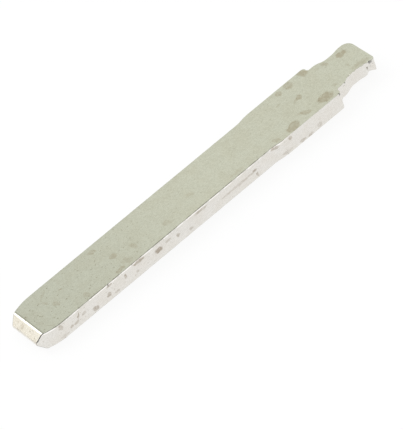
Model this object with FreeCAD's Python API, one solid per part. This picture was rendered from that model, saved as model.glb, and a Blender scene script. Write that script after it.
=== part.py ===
"""Key blank for a folding car key: one flat bar of nickel-plated metal, uncut, with a bevelled tip,
a slightly wider shank, square shoulders and a thinner waisted tang that the key's head grips.
Millimetres. X runs along the blank from the tip (-X) to the tang (+X), Y across it, and Z up.
The blank lies on its broad underside, and the origin is the middle of that side's bounding box."""

import FreeCAD
import Part
import math
import os

# Overall sizes
overall_length = 67.6
blade_width = 8.0
blade_thickness = 3.2

# Tip: both broad faces are bevelled towards a narrow nose, and both sides sweep in
bevel_length = 1.15
bevel_edge_radius = 0.7
nose_height = 0.5
tip_sweep_length = 4.4
tip_sweep_radius = 8.9
nose_corner_radius = 0.5

# Shank: the blade widens to it in a short reverse curve
shank_length = 11.7
step_blend_length = 2.4

# Shoulders: how far they stand out beyond the tang's neck, and their corners
shoulder_depth = 0.98
shoulder_outer_radius = 0.5
shoulder_inner_radius = 0.35

# Tang: milled thinner from below, with a neck, a waist and a lobe. Each inset or swell is on one side
tang_thickness = 2.4
relief_slope_length = 0.6
neck_width = 6.6
neck_length = 1.0
neck_to_waist_length = 2.4
waist_inset = 0.6
waist_length = 0.9
lobe_blend_length = 1.7
lobe_swell = 0.22
lobe_length = 0.5

# End of the tang: a round corner on the +Y side, and a torn ear on the -Y side
end_corner_radius = 1.4
ear_swell = 0.38
ear_corner_radius = 0.5

# Torn notch under the ear, where the blank broke off its strip
notch_radius = 0.8
notch_depth = 0.5
notch_setback = 1.1
notch_roof_thickness = 0.8

# Every outer edge is broken by tumbling before the plating
edge_chamfer = 0.12

# Which edges count as sharp: the least turn between their faces in degrees, and how far out to probe
smooth_angle = 15.0
probe_reach = 0.01

# A shoulder's two corners may take these shares of its depth
outer_corner_share = 0.55
inner_corner_share = 0.4

# Widths that follow from the sizes, from the middle line to one side
blade_y = blade_width / 2
neck_y = neck_width / 2
shank_y = neck_y + shoulder_depth
waist_y = neck_y - waist_inset
lobe_y = waist_y + lobe_swell
ear_y = lobe_y + ear_swell
outer_corner = min(shoulder_outer_radius, outer_corner_share * shoulder_depth)
inner_corner = min(shoulder_inner_radius, inner_corner_share * shoulder_depth)

# Places along X and Z that follow from the sizes
nose_x = -overall_length / 2
end_x = overall_length / 2
end_corner_x = end_x - end_corner_radius
lobe_x = end_corner_x - lobe_length
waist_end_x = lobe_x - lobe_blend_length
waist_start_x = waist_end_x - waist_length
neck_end_x = waist_start_x - neck_to_waist_length
shoulder_x = neck_end_x - neck_length
step_end_x = shoulder_x - shank_length
step_start_x = step_end_x - step_blend_length
sweep_end_x = nose_x + tip_sweep_length
bevel_end_x = nose_x + bevel_length
tang_underside_z = blade_thickness - tang_thickness
nose_underside_z = (blade_thickness - nose_height) / 2


def point(x, y, z=0.0):
    return FreeCAD.Vector(x, y, z)


def line(start, end):
    return Part.LineSegment(start, end).toShape()


def arc_about(centre, radius, start_angle, end_angle):
    """Arc in the plan view. Angles are in degrees from +X."""
    stations = []
    for angle in (start_angle, (start_angle + end_angle) / 2, end_angle):
        turn = math.radians(angle)
        stations.append(centre + point(radius * math.cos(turn), radius * math.sin(turn)))
    return Part.Arc(*stations).toShape()


def reverse_curve(start, end):
    """Two equal arcs that join two level runs, each level where it meets its run."""
    middle = (start + end) / 2
    run = end.x - start.x
    rise = end.y - start.y
    radius = (run**2 + rise**2) / (4 * abs(rise))
    half_turn = math.asin(run / 2 / radius) / 2
    bow = math.copysign(radius * (1 - math.cos(half_turn)), rise)
    step = point(radius * math.sin(half_turn), bow)
    return [Part.Arc(start, start + step, middle).toShape(), Part.Arc(middle, end - step, end).toShape()]


def blade_side():
    """The +Y side from the nose to the shank: an arc that sweeps out, a straight run and the step."""
    sweep_centre = point(sweep_end_x, blade_y - tip_sweep_radius)
    sweep_angle = math.degrees(math.asin(tip_sweep_length / tip_sweep_radius))
    sweep = arc_about(sweep_centre, tip_sweep_radius, 90 + sweep_angle, 90)
    run = line(point(sweep_end_x, blade_y), point(step_start_x, blade_y))
    step = reverse_curve(point(step_start_x, blade_y), point(step_end_x, shank_y))
    return [sweep, run] + step


def shank_side():
    """The +Y side along the shank, round the shoulder and into the neck."""
    corner_x = shoulder_x - outer_corner
    corner_y = shank_y - outer_corner
    root_x = shoulder_x + inner_corner
    root_y = neck_y + inner_corner
    run = line(point(step_end_x, shank_y), point(corner_x, shank_y))
    corner = arc_about(point(corner_x, corner_y), outer_corner, 90, 0)
    shoulder = line(point(shoulder_x, corner_y), point(shoulder_x, root_y))
    root = arc_about(point(root_x, root_y), inner_corner, 180, 270)
    neck = line(point(root_x, neck_y), point(neck_end_x, neck_y))
    return [run, corner, shoulder, root, neck]


def tang_side():
    """The +Y side from the neck through the waist to the widest part of the lobe."""
    into_waist = reverse_curve(point(neck_end_x, neck_y), point(waist_start_x, waist_y))
    waist = line(point(waist_start_x, waist_y), point(waist_end_x, waist_y))
    into_lobe = reverse_curve(point(waist_end_x, waist_y), point(lobe_x, lobe_y))
    return into_waist + [waist] + into_lobe


def tang_end():
    """From the +Y lobe round its corner, across the end face and back along the ear to the -Y lobe."""
    corner_y = lobe_y - end_corner_radius
    run = line(point(lobe_x, lobe_y), point(end_corner_x, lobe_y))
    corner = arc_about(point(end_corner_x, corner_y), end_corner_radius, 90, 0)
    end = line(point(end_x, corner_y), point(end_x, -ear_y))
    ear = line(point(end_x, -ear_y), point(lobe_x, -lobe_y))
    return [run, corner, end, ear]


def plan_outline():
    """The blank from above. Its two sides differ only at the end of the tang."""
    side = blade_side() + shank_side() + tang_side()
    other_side = [edge.mirror(point(0, 0), point(0, 1)) for edge in side]
    nose_y = blade_y - tip_sweep_radius + math.sqrt(tip_sweep_radius**2 - tip_sweep_length**2)
    nose = line(point(nose_x, -nose_y), point(nose_x, nose_y))
    return Part.Wire(Part.__sortEdges__(side + tang_end() + other_side + [nose]))


def prism_across(corners):
    """A solid from corners in the side view, through the whole width of the blank."""
    reach = blade_width + shank_y
    outline = [point(x, -reach, z) for x, z in corners + corners[:1]]
    return Part.Face(Part.makePolygon(outline)).extrude(point(0, 2 * reach, 0))


def bevelled_section():
    """The blank from the side: a flat bar with two bevels that roll over into the broad faces."""
    corners = [
        (end_x, 0),
        (bevel_end_x, 0),
        (nose_x, nose_underside_z),
        (nose_x, blade_thickness - nose_underside_z),
        (bevel_end_x, blade_thickness),
        (end_x, blade_thickness),
    ]
    section = prism_across(corners)
    rolled = [edge for edge in section.Edges if abs(edge.CenterOfMass.x - bevel_end_x) < probe_reach]
    return section.makeFillet(bevel_edge_radius, rolled)


def tang_relief():
    """What is milled off under the tang, up to the shoulders."""
    corners = [
        (shoulder_x, 0),
        (shoulder_x + relief_slope_length, tang_underside_z),
        (overall_length, tang_underside_z),
        (overall_length, 0),
    ]
    return prism_across(corners)


def is_sharp(solid, edge):
    """Whether the edge is an outward corner between two faces, and so gets softened."""
    middle = edge.valueAt((edge.FirstParameter + edge.LastParameter) / 2)
    faces = solid.ancestorsOfType(edge, Part.Face)
    normals = [face.normalAt(*face.Surface.parameter(middle)) for face in faces]
    turn = math.degrees(normals[0].getAngle(normals[-1]))
    outside = middle + (normals[0] + normals[-1]) * probe_reach
    return turn > smooth_angle and not solid.isInside(outside, probe_reach / 10, True)


def stands_at_nose(edge):
    return edge.BoundBox.XMax < nose_x + probe_reach and edge.BoundBox.ZLength > nose_height


def stands_at_ear(edge):
    return edge.BoundBox.XMin > end_x - probe_reach and edge.BoundBox.YMax < -lobe_y


def ear_notch():
    """The hollow that the break left under the ear."""
    centre = point(end_x - notch_setback, notch_depth - ear_y - notch_radius)
    return Part.makeCylinder(notch_radius, blade_thickness - notch_roof_thickness, centre)


def key_blank():
    """Blanked from sheet, bevelled and tumbled, with the tang then thinned from below."""
    bar = Part.Face(plan_outline()).extrude(point(0, 0, blade_thickness))
    bar = bar.makeFillet(nose_corner_radius, [edge for edge in bar.Edges if stands_at_nose(edge)])
    bar = bar.makeFillet(ear_corner_radius, [edge for edge in bar.Edges if stands_at_ear(edge)])
    blank = bar.common(bevelled_section()).removeSplitter().Solids[0]
    blank = blank.makeChamfer(edge_chamfer, [edge for edge in blank.Edges if is_sharp(blank, edge)])
    return blank.cut(tang_relief()).cut(ear_notch()).Solids[0]


if __name__ == "__main__":
    os.makedirs("parts", exist_ok=True)
    shape = key_blank()
    shape.exportStep("parts/key_blank.step")
    print("key_blank", shape.isValid(), round(shape.Volume, 1), "mm3")
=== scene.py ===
"""Key blank for a folding car key: an uncut nickel-plated bar that lies flat on a white table.
Metres in the frame, millimetres while the blank is being shaped. X runs from the tip to the tang."""

import math

import bmesh
import bpy
from mathutils import Euler, Matrix, Vector, noise


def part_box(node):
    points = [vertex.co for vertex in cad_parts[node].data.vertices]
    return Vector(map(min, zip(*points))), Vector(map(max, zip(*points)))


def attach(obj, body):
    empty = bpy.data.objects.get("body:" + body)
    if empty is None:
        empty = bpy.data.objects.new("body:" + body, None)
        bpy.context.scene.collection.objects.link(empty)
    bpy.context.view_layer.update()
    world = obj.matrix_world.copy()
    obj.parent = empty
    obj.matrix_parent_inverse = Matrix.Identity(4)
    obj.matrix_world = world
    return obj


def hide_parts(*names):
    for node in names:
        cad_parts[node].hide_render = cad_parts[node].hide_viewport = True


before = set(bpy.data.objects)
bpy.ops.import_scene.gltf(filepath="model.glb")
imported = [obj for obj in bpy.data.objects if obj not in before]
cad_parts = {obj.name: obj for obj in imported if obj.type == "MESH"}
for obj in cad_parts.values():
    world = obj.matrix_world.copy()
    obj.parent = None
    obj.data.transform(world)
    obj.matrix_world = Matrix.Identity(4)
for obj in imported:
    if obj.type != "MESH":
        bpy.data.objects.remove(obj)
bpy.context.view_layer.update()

# The blank
# One bar of brass, blanked from sheet 3.2 mm thick, bevelled at the tip and milled thinner under the tang.
# It was tumbled, which rounded every edge, and then plated with nickel. It is held by nothing.

mm = 0.001
low, high = [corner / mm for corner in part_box("key_blank")]
nose_x, end_x = low.x, high.x
shank_y, top_z = high.y, high.z

blade_y = 4.0
neck_y = 3.3
waist_y = 2.7
lobe_y = 2.92
ear_y = 3.3
shank_length = 11.7
step_length = 2.4
neck_length = 1.0
neck_to_waist = 2.4
waist_length = 0.9
waist_to_lobe = 1.7
lobe_length = 0.5
end_corner_radius = 1.4
ear_corner_radius = 0.5
notch_radius = 0.95
notch_depth = 0.5
notch_x = end_x - 1.1
notch_roof_z = top_z - 0.8
notch_ledges = (0, 0.12, 0.3)
notch_ledge_share = 0.6
tip_sweep_length = 4.4
tip_sweep_radius = 8.9
nose_corner_radius = 0.5
shoulder_outer_radius = 0.5
shoulder_inner_radius = 0.35
bevel_length = 1.15
bevel_roll_radius = 0.7
nose_height = 0.5
tang_thickness = 2.4
relief_slope_length = 0.6
nose_corner_turn = math.radians(60)
blade_softness = 0.12
shank_softness = 0.06
sharp_turn = math.radians(35)
plan_segments = 12
roll_segments = 6
edge_segments = 4
least_gap = 1e-3
merge_distance = 1e-4
cut_accuracy = 1e-5

end_corner_x = end_x - end_corner_radius
lobe_x = end_corner_x - lobe_length
waist_end_x = lobe_x - waist_to_lobe
waist_start_x = waist_end_x - waist_length
neck_end_x = waist_start_x - neck_to_waist
shoulder_x = neck_end_x - neck_length
step_end_x = shoulder_x - shank_length
step_start_x = step_end_x - step_length

torn_start_x = shoulder_x + 0.55
torn_spacing = 0.17
torn_count = 43
torn_margin_y = -2.3
torn_depth = 0.16
torn_drop = 0.22
torn_pitch = 2.3
torn_depth_row = 3.1
torn_drop_row = 7.7


def reverse_corners(start_x, start_y, end_x, end_y):
    """The two corners of a reverse curve between level runs, and how far each is rounded along its sides."""
    run = end_x - start_x
    rise = end_y - start_y
    radius = (run**2 + rise**2) / (4 * abs(rise))
    cut = radius * math.tan(math.asin(run / 2 / radius) / 2)
    return [(start_x + cut, start_y, cut), (end_x - cut, end_y, cut)]


def side_corners():
    """Corners of the plan from the nose to the waist's far end on the +Y side, as x, y and rounding."""
    sweep_turn = math.asin(tip_sweep_length / tip_sweep_radius)
    sweep_cut = tip_sweep_radius * math.tan(sweep_turn / 2)
    nose_y = blade_y - tip_sweep_radius * (1 - math.cos(sweep_turn))
    corners = [(nose_x, nose_y, 0), (nose_x + tip_sweep_length - sweep_cut, blade_y, sweep_cut)]
    corners += reverse_corners(step_start_x, blade_y, step_end_x, shank_y)
    corners += [(shoulder_x, shank_y, shoulder_outer_radius), (shoulder_x, neck_y, shoulder_inner_radius)]
    corners += reverse_corners(neck_end_x, neck_y, waist_start_x, waist_y)
    return corners + reverse_corners(waist_end_x, waist_y, lobe_x, lobe_y)


def upright_edge(bm, x, y):
    """The upright edge of the bar that stands nearest to a place in the plan."""
    uprights = [edge for edge in bm.edges if abs(edge.verts[0].co.z - edge.verts[1].co.z) > top_z / 2]
    return min(uprights, key=lambda edge: (edge.verts[0].co.xy - Vector((x, y))).length)


def round_edges(bm, edges, cut, segments):
    bmesh.ops.bevel(
        bm, geom=edges, offset=cut, offset_type="OFFSET", segments=segments, profile=0.5,
        affect="EDGES", clamp_overlap=False, material=-1,
    )


def shape_plan(bm):
    """The bar as it leaves the press: the plan's outline, full thickness, with its corners rounded."""
    side = side_corners()
    ear_turn = math.pi / 2 + math.atan2(ear_y - lobe_y, end_x - lobe_x)
    ear_cut = ear_corner_radius * math.tan(ear_turn / 2)
    end = [(end_x, lobe_y, end_corner_radius), (end_x, -ear_y, ear_cut), (lobe_x, -lobe_y, 0)]
    other_side = [(x, -y, cut) for x, y, cut in reversed(side)]
    corners = side + end + other_side
    outline = [bm.verts.new((x, y, 0)) for x, y, cut in corners]
    floor_face = bm.faces.new(outline)
    made = bmesh.ops.extrude_face_region(bm, geom=[floor_face])
    raised = [item for item in made["geom"] if isinstance(item, bmesh.types.BMVert)]
    bmesh.ops.translate(bm, verts=raised, vec=(0, 0, top_z))
    bmesh.ops.recalc_face_normals(bm, faces=bm.faces[:])
    for x, y, cut in corners:
        if cut:
            round_edges(bm, [upright_edge(bm, x, y)], cut * (1 - least_gap), plan_segments)
    nose_cut = nose_corner_radius * math.tan(nose_corner_turn / 2)
    for y in (side[0][1], -side[0][1]):
        round_edges(bm, [upright_edge(bm, nose_x, y)], nose_cut, roll_segments)


def cut_flat(bm, place, normal):
    """Cuts the bar with a plane, throws away what lies in front of it and closes the cut."""
    geometry = bm.verts[:] + bm.edges[:] + bm.faces[:]
    bmesh.ops.bisect_plane(
        bm, geom=geometry, dist=cut_accuracy, plane_co=place, plane_no=normal, clear_outer=True
    )
    bmesh.ops.holes_fill(bm, edges=[edge for edge in bm.edges if edge.is_boundary], sides=0)


def bevel_tip(bm):
    """Both broad faces fall away to a narrow nose and roll over into their bevels."""
    drop = (top_z - nose_height) / 2
    bevel_x = nose_x + bevel_length
    slope = math.atan2(drop, bevel_length)
    lean = Vector((-math.sin(slope), 0, math.cos(slope)))
    cut_flat(bm, (bevel_x, 0, top_z), lean)
    cut_flat(bm, (bevel_x, 0, 0), (lean.x, 0, -lean.z))
    crest = {
        vert for vert in bm.verts
        if abs(vert.co.x - bevel_x) < least_gap and abs(vert.co.z * 2 - top_z) > top_z - least_gap
    }
    rolled = [edge for edge in bm.edges if crest.issuperset(edge.verts)]
    round_edges(bm, rolled, bevel_roll_radius * math.tan(slope / 2), roll_segments)


def slice_bar(bm, place, normal):
    """Adds the line where a plane crosses the bar."""
    geometry = bm.verts[:] + bm.edges[:] + bm.faces[:]
    bmesh.ops.bisect_plane(bm, geom=geometry, dist=cut_accuracy, plane_co=place, plane_no=normal)


def thin_tang(bm):
    """The tang is milled from below, up to a short slope at the shoulders."""
    for x in (shoulder_x, shoulder_x + relief_slope_length):
        slice_bar(bm, (x, 0, 0), (1, 0, 0))
    for vert in bm.verts:
        if vert.co.z < least_gap:
            share = (vert.co.x - shoulder_x) / relief_slope_length
            vert.co.z = (top_z - tang_thickness) * min(1, max(0, share))


def tear_tang(bm):
    """The tang broke off its strip: the near top edge is ragged, and a hollow is torn out below the ear."""
    for step in range(torn_count):
        slice_bar(bm, (torn_start_x + torn_spacing * step, 0, 0), (1, 0, 0))
    for drop in notch_ledges:
        slice_bar(bm, (0, 0, notch_roof_z - drop), (0, 0, 1))
    slice_bar(bm, (0, torn_margin_y, 0), (0, 1, 0))
    for vert in bm.verts:
        x, y, z = vert.co
        if x < torn_start_x + least_gap or y > torn_margin_y - least_gap:
            continue
        reach = min(1, abs(x - notch_x) / notch_radius)
        if z < notch_roof_z - least_gap:
            ledge_z = notch_roof_z - notch_ledges[1] - least_gap
            rounding = notch_ledge_share if z > ledge_z else 1
            vert.co.y += notch_depth * (1 + math.cos(math.pi * reach)) / 2 * rounding
        if z > top_z - least_gap:
            vert.co.y += torn_depth * noise.noise((x * torn_pitch, torn_depth_row, 0))
            vert.co.z -= torn_drop * max(0, noise.noise((x * torn_pitch, torn_drop_row, 0)))


def soften_edges(bm, low_x, high_x, softness):
    """Tumbling rounds the outward edges between two places along the bar."""
    sharp = []
    for edge in bm.edges:
        middle_x = (edge.verts[0].co.x + edge.verts[1].co.x) / 2
        if edge.calc_face_angle_signed(0) > sharp_turn and low_x < middle_x < high_x:
            sharp.append(edge)
    round_edges(bm, sharp, softness, edge_segments)


blank_bmesh = bmesh.new()
shape_plan(blank_bmesh)
bevel_tip(blank_bmesh)
thin_tang(blank_bmesh)
tear_tang(blank_bmesh)
bmesh.ops.remove_doubles(blank_bmesh, verts=blank_bmesh.verts[:], dist=merge_distance)
soften_edges(blank_bmesh, step_end_x, end_x + 1, shank_softness)
soften_edges(blank_bmesh, nose_x - 1, step_end_x, blade_softness)
bmesh.ops.remove_doubles(blank_bmesh, verts=blank_bmesh.verts[:], dist=merge_distance)
for vert in blank_bmesh.verts:
    vert.co.x = max(vert.co.x, nose_x)
    vert.co.y = min(max(vert.co.y, -shank_y), shank_y)
    vert.co.z = min(max(vert.co.z, 0), top_z)
bmesh.ops.scale(blank_bmesh, vec=(mm, mm, mm), verts=blank_bmesh.verts[:])
blank_mesh = bpy.data.meshes.new("blank")
blank_bmesh.to_mesh(blank_mesh)
blank_bmesh.free()
blank = bpy.data.objects.new("blank", blank_mesh)
bpy.context.scene.collection.objects.link(blank)
for polygon in blank_mesh.polygons:
    polygon.use_smooth = True
blank_mesh.set_sharp_from_angle(angle=sharp_turn)
even_shading = blank.modifiers.new("even_shading", "WEIGHTED_NORMAL")
even_shading.keep_sharp = True

# Nickel: a warm grey metal, duller and browner where it is stained. A noise warps the stains' edges.
# Each stain is x, y, half length, half width, turn in degrees and strength. On the near side z stands for y.
# A dent is x, y, half length and half width. Its dark grey is a painted reflection of dark surroundings, on
# the top face only.

plate_colour = (0.795, 0.767, 0.708, 1)
grain_tint = (0.915, 0.915, 0.905, 1)
cloud_tint = (0.975, 0.965, 0.95, 1)
tip_tint = (0.905, 0.915, 0.92, 1)
side_tint = (0.962, 0.970, 0.992, 1)
top_stain_tint = (0.755, 0.705, 0.64, 1)
side_stain_tint = (0.60, 0.55, 0.49, 1)
speck_tint = (0.72, 0.69, 0.65, 1)
# Painted reflection: the dark grey laid into the dents.
dent_reflection_tint = (0.38, 0.38, 0.38, 1)
roll_line_tint = (0.72, 0.72, 0.72, 1)
# Painted dark reflections along the rolled edges: grey along the blade, near black at the tip.
blade_edge_reflection_tint = (0.52, 0.52, 0.50, 1)
bevel_edge_reflection_tint = (0.12, 0.12, 0.12, 1)
# Painted highlight: a tint brighter than white, for the top edge of the sides.
painted_highlight_tint = (1.3, 1.3, 1.34, 1)
clean_roughness = 0.20
stain_roughness = 0.14
grain_roughness = 0.06
relief_depth = 0.004 * mm
relief_strength = 0.3
stain_core = 0.75
stain_rim = 1.2

top_stains = [
    (-32.1, 1.0, 0.5, 0.3, 60, 0.35),
    (-31.6, -1.5, 0.7, 0.3, -40, 0.3),
    (-30.8, -3.0, 1.0, 0.08, -55, 0.35),
    (-28.1, 2.2, 1.5, 0.16, 30, 0.4),
    (-28.6, 0.9, 0.62, 0.24, -65, 0.55),
    (-27.6, -0.6, 0.75, 0.4, -65, 0.5),
    (-25.4, 1.1, 0.4, 0.09, -10, 0.9),
    (-23.7, -3.0, 0.6, 0.5, -60, 0.55),
    (-18.0, 2.8, 0.75, 0.42, -20, 0.75),
    (-16.5, -0.5, 0.62, 0.6, -30, 0.75),
    (-15.8, -2.8, 0.85, 0.6, -30, 0.4),
    (-17.5, -3.4, 1.0, 0.38, 8, 0.8),
    (-13.3, -1.4, 0.35, 0.75, 15, 0.6),
    (-7.4, -2.2, 0.8, 0.5, -30, 0.45),
    (-1.6, -0.8, 0.7, 0.35, -45, 0.35),
    (5.6, -3.3, 1.6, 0.3, 0, 0.3),
    (13.4, -3.4, 0.6, 0.4, -30, 0.6),
    (16.8, -3.5, 1.25, 0.78, 14, 1.0),
    (18.4, 1.7, 0.32, 0.28, 30, 0.5),
    (20.0, 3.4, 0.55, 0.45, 20, 0.75),
    (22.1, 3.5, 0.75, 0.7, -25, 0.75),
    (25.0, 3.6, 0.9, 0.65, -50, 0.95),
    (21.4, 0.2, 0.45, 0.62, -15, 1.0),
    (20.7, 0.1, 0.6, 0.28, 5, 0.6),
    (19.8, -2.8, 1.05, 0.42, -38, 0.8),
    (23.8, -3.1, 1.3, 0.85, -10, 1.1),
    (26.3, -2.3, 0.5, 0.35, -30, 0.45),
    (28.3, 2.2, 0.75, 0.35, -60, 0.6),
    (31.3, 1.6, 0.95, 0.55, -8, 1.15),
    (30.3, -0.9, 0.25, 0.5, 10, 0.45),
    (31.6, -2.3, 1.6, 0.55, -8, 0.5),
]
side_stains = [
    (-29.8, 2.4, 0.3, 0.65, 10, 0.65),
    (-29.6, 0.5, 0.9, 0.28, 0, 0.35),
    (-28.1, 1.1, 0.35, 0.25, 20, 0.75),
    (-27.2, 1.1, 0.5, 0.3, 20, 0.55),
    (-26.6, 2.0, 0.55, 0.14, 62, 0.9),
    (-25.6, 1.7, 0.42, 0.3, 15, 0.6),
    (-23.6, 0.8, 0.62, 0.42, -30, 0.9),
    (-20.8, 1.3, 0.42, 0.38, -30, 0.9),
    (-20.4, 2.8, 0.5, 0.25, 0, 0.7),
    (-19.4, 0.7, 0.5, 0.25, 0, 0.6),
    (-17.4, 2.0, 0.28, 0.5, 0, 0.8),
    (-15.3, 1.2, 0.25, 0.25, 0, 0.55),
    (-14.6, 2.7, 1.1, 0.33, 0, 0.8),
    (-11.0, 1.8, 0.8, 0.42, 0, 1.0),
    (-9.0, 2.1, 0.6, 0.27, 0, 0.6),
    (-7.2, 1.6, 0.3, 0.4, 20, 0.6),
    (-2.5, 2.6, 1.3, 0.24, 0, 0.6),
    (-4.9, 0.9, 0.4, 0.3, 0, 0.5),
    (5.0, 1.6, 3.6, 0.24, 0, 0.45),
    (8.1, 1.8, 0.5, 0.22, 0, 0.9),
    (8.4, 0.7, 0.18, 0.5, 10, 0.65),
    (12.5, 2.75, 0.7, 0.4, -5, 0.85),
    (15.3, 2.6, 0.45, 0.35, -35, 0.8),
    (14.2, 0.6, 1.0, 0.3, 0, 0.35),
    (17.2, 0.4, 0.6, 0.35, 0, 0.6),
    (18.8, 0.3, 0.6, 0.25, 0, 0.55),
    (20.8, 0.7, 0.4, 0.45, 0, 0.4),
]
# Dents, each painted dark on the top face as a painted reflection.
dents_painted_dark = [
    (25.62, -4.25, 0.22, 0.16),
    (32.8, -3.2, 0.4, 0.1),
    (27.4, -3.25, 0.2, 0.07),
    (-20.4, -3.97, 0.14, 0.06),
]

nickel = bpy.data.materials.new("nickel_plate")
nickel.use_nodes = True
nodes, links = nickel.node_tree.nodes, nickel.node_tree.links
shader = nodes["Principled BSDF"]


def join(socket, value):
    """Feeds a node's input from another node or with a constant."""
    if isinstance(value, bpy.types.NodeSocket):
        links.new(value, socket)
    else:
        socket.default_value = value


def combine(operation, first, second):
    """One step of arithmetic on two numbers."""
    step = nodes.new("ShaderNodeMath")
    step.operation = operation
    join(step.inputs[0], first)
    join(step.inputs[1], second)
    return step.outputs[0]


def ramp(value, start, end, low_value=0.0, high_value=1.0):
    """A soft step between two values."""
    step = nodes.new("ShaderNodeMapRange")
    step.interpolation_type = "SMOOTHSTEP"
    join(step.inputs["Value"], value)
    join(step.inputs["From Min"], start)
    join(step.inputs["From Max"], end)
    join(step.inputs["To Min"], low_value)
    join(step.inputs["To Max"], high_value)
    return step.outputs["Result"]


def noise_at(place, scale, detail):
    step = nodes.new("ShaderNodeTexNoise")
    join(step.inputs["Vector"], place)
    step.inputs["Scale"].default_value = scale
    step.inputs["Detail"].default_value = detail
    return step.outputs


def combine_vectors(operation, first, second):
    step = nodes.new("ShaderNodeVectorMath")
    step.operation = operation
    join(step.inputs[0], first)
    join(step.inputs[1], second)
    return step.outputs[0]


def tinted(fac, colour, tint):
    """The colour, multiplied by the tint as far as the factor says."""
    step = nodes.new("ShaderNodeMix")
    step.data_type = "RGBA"
    step.blend_type = "MULTIPLY"
    join(step.inputs["Factor"], fac)
    join(step.inputs[6], colour)
    join(step.inputs[7], tint)
    return step.outputs[2]


def stain_group():
    """One stain: how far a place lies inside an oval, laid over the stains before it."""
    group = bpy.data.node_groups.new("stain", "ShaderNodeTree")
    for name, kind in (("Place", "Vector"), ("Centre", "Vector"), ("Turn", "Vector"), ("Size", "Vector")):
        group.interface.new_socket(name, in_out="INPUT", socket_type="NodeSocket" + kind)
    for name in ("Strength", "Before"):
        group.interface.new_socket(name, in_out="INPUT", socket_type="NodeSocketFloat")
    group.interface.new_socket("After", in_out="OUTPUT", socket_type="NodeSocketFloat")
    inner = group.nodes
    source = inner.new("NodeGroupInput").outputs
    oval = inner.new("ShaderNodeMapping")
    oval.vector_type = "TEXTURE"
    distance = inner.new("ShaderNodeVectorMath")
    distance.operation = "LENGTH"
    fade = inner.new("ShaderNodeMapRange")
    fade.interpolation_type = "SMOOTHSTEP"
    fade.inputs["From Min"].default_value = stain_rim
    fade.inputs["From Max"].default_value = stain_core
    weight = inner.new("ShaderNodeMath")
    weight.operation = "MULTIPLY"
    most = inner.new("ShaderNodeMath")
    most.operation = "MAXIMUM"
    result = inner.new("NodeGroupOutput").inputs
    for start, end in (
        (source["Place"], oval.inputs["Vector"]), (source["Centre"], oval.inputs["Location"]),
        (source["Turn"], oval.inputs["Rotation"]), (source["Size"], oval.inputs["Scale"]),
        (oval.outputs[0], distance.inputs[0]), (distance.outputs["Value"], fade.inputs["Value"]),
        (fade.outputs["Result"], weight.inputs[0]), (source["Strength"], weight.inputs[1]),
        (weight.outputs[0], most.inputs[0]), (source["Before"], most.inputs[1]),
        (most.outputs[0], result["After"]),
    ):
        group.links.new(start, end)
    return group


def laid_stains(place, stains):
    """All the stains of one face, as one mask."""
    mask = 0.0
    for x, y, long, wide, turn, strength in stains:
        spot = nodes.new("ShaderNodeGroup")
        spot.node_tree = stain_kind
        join(spot.inputs["Place"], place)
        spot.inputs["Centre"].default_value = (x, y, 0)
        spot.inputs["Turn"].default_value = (0, 0, math.radians(turn))
        spot.inputs["Size"].default_value = (long, wide, 1)
        spot.inputs["Strength"].default_value = strength
        join(spot.inputs["Before"], mask)
        mask = spot.outputs["After"]
    return mask


stain_kind = stain_group()
coordinate = nodes.new("ShaderNodeTexCoord")
place_mm = combine_vectors("MULTIPLY", coordinate.outputs["Object"], (1 / mm, 1 / mm, 1 / mm))
drift = combine_vectors("SUBTRACT", noise_at(place_mm, 1.5, 5)["Color"], (0.5, 0.5, 0.5))
warped = combine_vectors("ADD", place_mm, combine_vectors("MULTIPLY", drift, (0.9, 0.9, 0.5)))
along = nodes.new("ShaderNodeSeparateXYZ")
join(along.inputs[0], warped)
straight = nodes.new("ShaderNodeSeparateXYZ")
join(straight.inputs[0], place_mm)
facing_way = nodes.new("ShaderNodeSeparateXYZ")
join(facing_way.inputs[0], coordinate.outputs["Normal"])
flat_place = nodes.new("ShaderNodeCombineXYZ")
join(flat_place.inputs["X"], along.outputs["X"])
join(flat_place.inputs["Y"], along.outputs["Y"])
side_place = nodes.new("ShaderNodeCombineXYZ")
join(side_place.inputs["X"], along.outputs["X"])
join(side_place.inputs["Y"], along.outputs["Z"])

on_top = ramp(facing_way.outputs["Z"], 0.75, 0.9)
on_near_side = ramp(facing_way.outputs["Y"], -0.6, -0.8)
sideways = combine("ABSOLUTE", facing_way.outputs["Y"], 0.0)
upward = combine("ABSOLUTE", facing_way.outputs["Z"], 0.0)
on_edge = combine("MULTIPLY", ramp(upward, 0.15, 0.3), ramp(upward, 0.985, 0.95))
on_edge = combine("MULTIPLY", on_edge, ramp(sideways, 0.12, 0.3))
elsewhere = combine("SUBTRACT", combine("SUBTRACT", 1, on_top), on_near_side)
top_mask = combine("MULTIPLY", laid_stains(flat_place.outputs[0], top_stains), on_top)
side_mask = combine("MULTIPLY", laid_stains(side_place.outputs[0], side_stains), on_near_side)
loose_mask = combine("MULTIPLY", ramp(noise_at(warped, 0.42, 2)["Fac"], 0.6, 0.66, 0, 0.45), elsewhere)
mottle = ramp(noise_at(place_mm, 2.4, 4)["Fac"], 0.36, 0.62, 0.62, 1.15)
stain_mask = combine("MULTIPLY", combine("MAXIMUM", top_mask, loose_mask), mottle)
side_mask = combine("MULTIPLY", side_mask, mottle)

grain = ramp(noise_at(place_mm, 3.6, 3)["Fac"], 0.34, 0.66)
cloud = ramp(noise_at(place_mm, 0.45, 3)["Fac"], 0.35, 0.65)
specks = ramp(noise_at(place_mm, 3.0, 2)["Fac"], 0.63, 0.70)
tip_wear = ramp(straight.outputs["X"], 4.0, -32.0)
specks = combine("MULTIPLY", specks, ramp(tip_wear, 0.0, 1.0, 0.35, 1.0))
roll_line = ramp(straight.outputs["X"], -32.46, -32.38)
roll_line = combine("MULTIPLY", roll_line, ramp(straight.outputs["X"], -32.2, -32.3))
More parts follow.
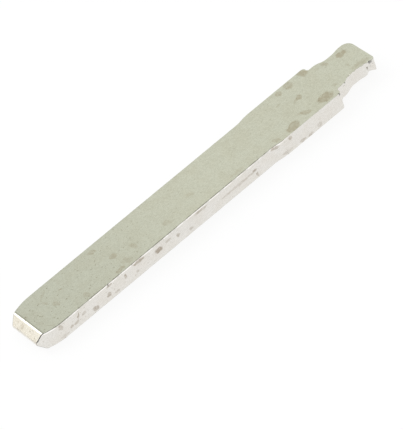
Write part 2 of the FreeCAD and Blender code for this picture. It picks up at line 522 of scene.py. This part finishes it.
# Painted reflection: the dents darkened, on the top face only.
dent_reflection_mask = laid_stains(flat_place.outputs[0], [(x, y, long, wide, 0, 1.0) for x, y, long, wide in dents_painted_dark])
dent_reflection_mask = combine("MULTIPLY", dent_reflection_mask, ramp(along.outputs["Z"], 2.6, 2.9))

# Painted dark reflection along the rolled edges, stronger towards the tip and broken up by a noise.
blade_edge_dark_reflection = combine("MULTIPLY", on_edge, ramp(straight.outputs["X"], 16.0, 8.0, 0.15, 1.0))
blade_edge_dark_reflection = combine("MULTIPLY", blade_edge_dark_reflection, ramp(noise_at(place_mm, 0.9, 3)["Fac"], 0.4, 0.6, 0.35, 1.3))
# Painted dark reflection: the rolled edges at the tip turned near black.
bevel_edge_dark_reflection = combine("MULTIPLY", on_edge, ramp(straight.outputs["X"], -32.3, -32.6))
# Painted highlight: a bright broken line along the sides' top edge, from the blade towards the tip.
painted_highlight = combine("MULTIPLY", ramp(straight.outputs["Z"], 2.84, 2.94), ramp(sideways, 0.8, 0.95))
painted_highlight = combine("MULTIPLY", painted_highlight, ramp(noise_at(warped, 0.5, 3)["Fac"], 0.44, 0.54))
painted_highlight = combine("MULTIPLY", painted_highlight, ramp(straight.outputs["X"], 16.0, 13.0))

calm_side = ramp(sideways, 0.6, 0.8, 1.0, 0.5)
colour = tinted(combine("MULTIPLY", grain, calm_side), plate_colour, grain_tint)
colour = tinted(cloud, colour, cloud_tint)
colour = tinted(combine("MULTIPLY", tip_wear, on_top), colour, tip_tint)
colour = tinted(combine("MULTIPLY", roll_line, on_top), colour, roll_line_tint)
colour = tinted(stain_mask, colour, top_stain_tint)
colour = tinted(side_mask, colour, side_stain_tint)
colour = tinted(ramp(sideways, 0.6, 0.8), colour, side_tint)
colour = tinted(specks, colour, speck_tint)
colour = tinted(dent_reflection_mask, colour, dent_reflection_tint)
colour = tinted(blade_edge_dark_reflection, colour, blade_edge_reflection_tint)
colour = tinted(bevel_edge_dark_reflection, colour, bevel_edge_reflection_tint)
colour = tinted(painted_highlight, colour, painted_highlight_tint)
join(shader.inputs["Base Color"], colour)

dull = combine("MULTIPLY", combine("MAXIMUM", stain_mask, side_mask), stain_roughness)
dull = combine("ADD", dull, clean_roughness)
dull = combine("ADD", dull, combine("MULTIPLY", grain, grain_roughness))
join(shader.inputs["Roughness"], dull)
shader.inputs["Metallic"].default_value = 1

relief = nodes.new("ShaderNodeBump")
relief.inputs["Distance"].default_value = relief_depth
relief.inputs["Strength"].default_value = relief_strength
join(relief.inputs["Height"], combine("SUBTRACT", grain, combine("MULTIPLY", specks, 2.0)))
join(shader.inputs["Normal"], relief.outputs[0])
blank_mesh.materials.append(nickel)

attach(blank, "root")
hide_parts("key_blank")

# The table
# A sheet of matt white card under the blank, pale enough to run out into white.
# It isn't part of the blank. The nickel mirrors only the card close to it.

table_reach = 1.5
table_drop = 0.01 * mm
card_colour = (0.97, 0.97, 0.965, 1)
mirrored_near = 1.07
mirrored_far = 0.05
plain_share = 0.87
mirrored_share = 0.96

table_bmesh = bmesh.new()
bmesh.ops.create_grid(table_bmesh, x_segments=1, y_segments=1, size=table_reach)
bmesh.ops.translate(table_bmesh, verts=table_bmesh.verts[:], vec=(0, 0, -table_drop))
table_mesh = bpy.data.meshes.new("table")
table_bmesh.to_mesh(table_mesh)
table_bmesh.free()
table = bpy.data.objects.new("table", table_mesh)
bpy.context.scene.collection.objects.link(table)

card = bpy.data.materials.new("white_card")
card.use_nodes = True
nodes, links = card.node_tree.nodes, card.node_tree.links
nodes.clear()
matt = nodes.new("ShaderNodeBsdfDiffuse")
matt.inputs["Color"].default_value = card_colour
glow = nodes.new("ShaderNodeEmission")
glow.inputs["Color"].default_value = (1, 1, 1, 1)
table_place = nodes.new("ShaderNodeTexCoord")
spread = combine_vectors("MULTIPLY", table_place.outputs["Object"], (1, 1, 0))
spread_length = nodes.new("ShaderNodeVectorMath")
spread_length.operation = "LENGTH"
join(spread_length.inputs[0], spread)
near = ramp(spread_length.outputs["Value"], 0.045, 0.065, mirrored_near, mirrored_far)
path = nodes.new("ShaderNodeLightPath")
mirrored = combine("MULTIPLY", path.outputs["Is Glossy Ray"], near)
join(glow.inputs["Strength"], combine("MAXIMUM", mirrored, path.outputs["Is Camera Ray"]))
seen = combine("MULTIPLY", path.outputs["Is Camera Ray"], plain_share)
seen = combine("MAXIMUM", seen, combine("MULTIPLY", path.outputs["Is Glossy Ray"], mirrored_share))
blend = nodes.new("ShaderNodeMixShader")
join(blend.inputs["Fac"], seen)
links.new(matt.outputs[0], blend.inputs[1])
links.new(glow.outputs[0], blend.inputs[2])
links.new(blend.outputs[0], nodes.new("ShaderNodeOutputMaterial").inputs["Surface"])
table_mesh.materials.append(card)

# The light
# A soft box high behind the tip, and a pale room that is brighter at a window and darker behind the camera.

room_colour = (0.75, 0.79, 0.69, 1)
window_colour = (1.22, 1.20, 1.13, 1)
dim_colour = (0.40, 0.41, 0.40, 1)
gap_colour = (0.25, 0.25, 0.25, 1)

soft_box = bpy.data.lights.new("soft_box", "AREA")
soft_box.shape = "DISK"
soft_box.size = 0.7
soft_box_radiance = 2.0
soft_box.energy = soft_box_radiance * math.pi * math.pi * (soft_box.size / 2) ** 2
soft_box_direction = Vector((-0.33, 0.64, 0.69)).normalized()
lamp = bpy.data.objects.new("soft_box", soft_box)
lamp.location = soft_box_direction
lamp.rotation_euler = soft_box_direction.to_track_quat("Z", "Y").to_euler()
bpy.context.scene.collection.objects.link(lamp)

room = bpy.data.worlds.new("room")
bpy.context.scene.world = room
room.use_nodes = True
nodes, links = room.node_tree.nodes, room.node_tree.links
nodes.clear()
direction = nodes.new("ShaderNodeTexCoord")


def room_part(colour, towards, start, end, part_colour):
    """The room's colour, with one soft round part of it in another colour."""
    dot = nodes.new("ShaderNodeVectorMath")
    dot.operation = "DOT_PRODUCT"
    dot.inputs[1].default_value = Vector(towards).normalized()
    links.new(direction.outputs["Generated"], dot.inputs[0])
    part = nodes.new("ShaderNodeMix")
    part.data_type = "RGBA"
    join(part.inputs["Factor"], ramp(dot.outputs["Value"], start, end))
    join(part.inputs[6], colour)
    join(part.inputs[7], part_colour)
    return part.outputs[2]


colour = room_part(room_colour, (-0.6, 0.78, 0.15), 0.65, 0.93, window_colour)
colour = room_part(colour, (-0.35, -0.9, 0.15), 0.55, 0.9, dim_colour)
colour = room_part(colour, (0.0, 0.64, 0.77), 0.988, 0.996, gap_colour)
path = nodes.new("ShaderNodeLightPath")
for ray, plain in (("Is Diffuse Ray", 0.95), ("Is Camera Ray", 1)):
    swap = nodes.new("ShaderNodeMix")
    swap.data_type = "RGBA"
    join(swap.inputs["Factor"], path.outputs[ray])
    join(swap.inputs[6], colour)
    join(swap.inputs[7], (plain, plain, plain, 1))
    colour = swap.outputs[2]
background = nodes.new("ShaderNodeBackground")
links.new(colour, background.inputs["Color"])
links.new(background.outputs[0], nodes.new("ShaderNodeOutputWorld").inputs["Surface"])

# The camera
# It looks down on the near long side from the tip's end, and is tilted so that the tip lies low on the left.

camera_aim = Vector((-2.5, -3.9, 1.6)) * mm
camera_distance = 508.8 * mm
camera_azimuth = math.radians(-26.1)
camera_elevation = math.radians(44.92)
camera_roll = math.radians(-20.68)
picture_height = 430
focal_pixels = 3500

camera_data = bpy.data.cameras.new("camera")
camera_data.sensor_width = 36
camera_data.lens = camera_data.sensor_width * focal_pixels / picture_height
camera = bpy.data.objects.new("camera", camera_data)
turn = Euler((math.pi / 2 - camera_elevation, 0, camera_azimuth)).to_matrix()
turn = turn @ Matrix.Rotation(camera_roll, 3, "Z")
camera.matrix_world = Matrix.Translation(camera_aim + turn @ Vector((0, 0, camera_distance))) @ turn.to_4x4()
camera_data.clip_start = 0.01
bpy.context.scene.collection.objects.link(camera)
bpy.context.scene.camera = camera

bpy.context.scene.view_settings.view_transform = "Standard"
